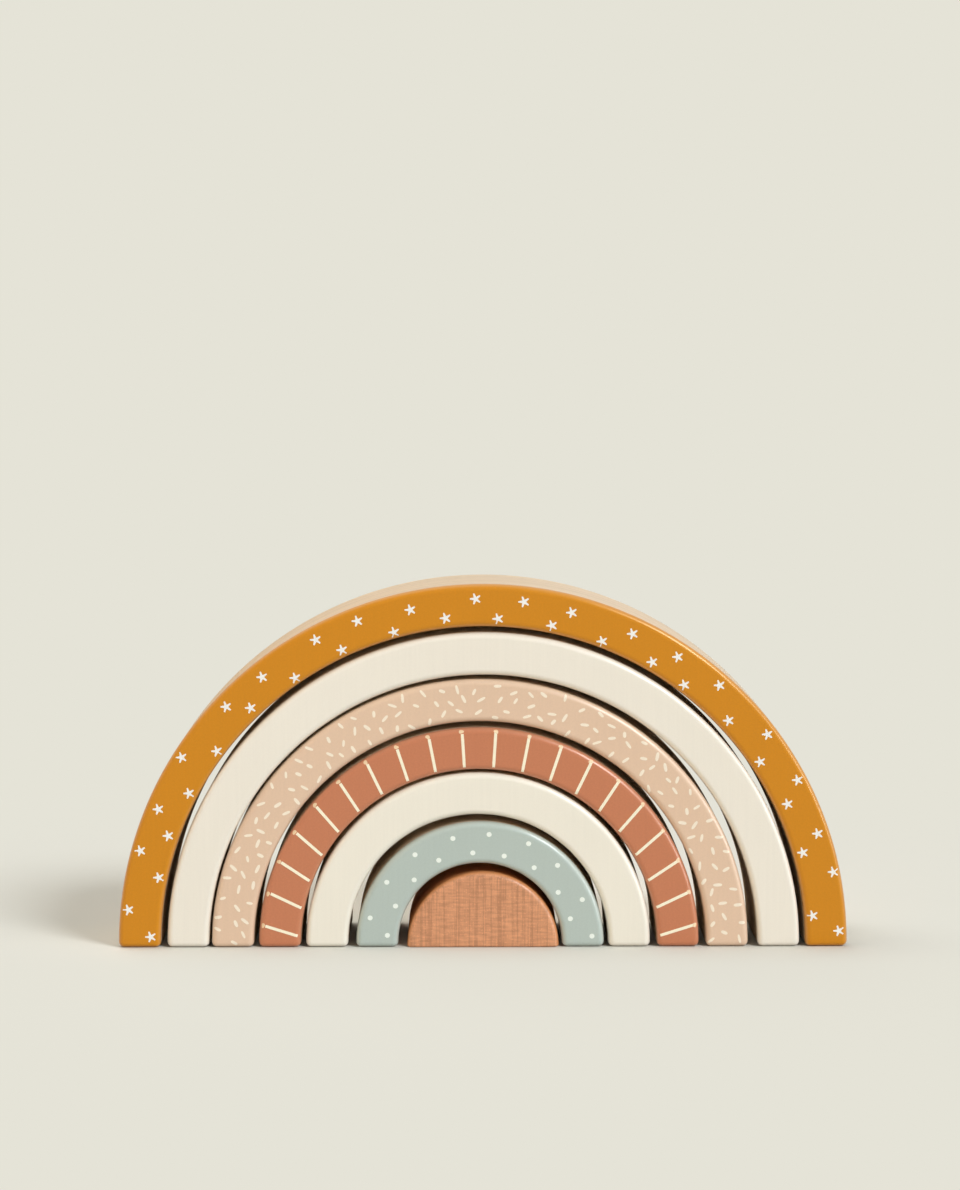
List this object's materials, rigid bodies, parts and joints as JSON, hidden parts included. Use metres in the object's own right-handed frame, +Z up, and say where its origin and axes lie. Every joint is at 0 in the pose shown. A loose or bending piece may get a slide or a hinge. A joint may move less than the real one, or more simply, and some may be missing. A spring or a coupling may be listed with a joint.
{
  "type": "rainbow stacker",
  "caption": "Nesting wooden rainbow toy: loose half-ring arches in muted painted colours with small printed patterns, lifted off one by one from a half-disc beech centre block.",
  "frame": {"origin": "on the floor, under the middle of the largest arch, half way between the front and back faces", "axes": "+X along the width, to the right as seen from the front; +Y from the front face to the back face; +Z up"},
  "size_m": [0.2728, 0.04, 0.1364],
  "materials": {
    "tinted_beech": "oiled beech, fine vertical grain",
    "sage_paint": "satin water-based paint on beech",
    "cream_paint": "satin water-based paint on beech",
    "terracotta_paint": "satin water-based paint on beech",
    "blush_paint": "satin water-based paint on beech",
    "mustard_paint": "satin water-based paint on beech",
    "pale_print": "matt pad-printed ink on the painted faces"
  },
  "bodies": {
    "centre": {"centre_half_disc": "tinted_beech"},
    "sage": {"sage_arch": "sage_paint"},
    "inner_cream": {"inner_cream_arch": "cream_paint"},
    "terracotta": {"terracotta_arch": "terracotta_paint"},
    "pink": {"pink_arch": "blush_paint"},
    "outer_cream": {"outer_cream_arch": "cream_paint"},
    "mustard": {"mustard_arch": "mustard_paint"}
  },
  "joints": [
    {"name": "sage_lift", "type": "slide", "parent": "centre", "child": "sage", "axis": [0, 0, 1], "range_m": [0, 0.039]},
    {"name": "inner_cream_lift", "type": "slide", "parent": "sage", "child": "inner_cream", "axis": [0, 0, 1], "range_m": [0, 0.058]},
    {"name": "terracotta_lift", "type": "slide", "parent": "inner_cream", "child": "terracotta", "axis": [0, 0, 1], "range_m": [0, 0.077]},
    {"name": "pink_lift", "type": "slide", "parent": "terracotta", "child": "pink", "axis": [0, 0, 1], "range_m": [0, 0.094]},
    {"name": "outer_cream_lift", "type": "slide", "parent": "pink", "child": "outer_cream", "axis": [0, 0, 1], "range_m": [0, 0.112]},
    {"name": "mustard_lift", "type": "slide", "parent": "outer_cream", "child": "mustard", "axis": [0, 0, 1], "range_m": [0, 0.129]}
  ]
}
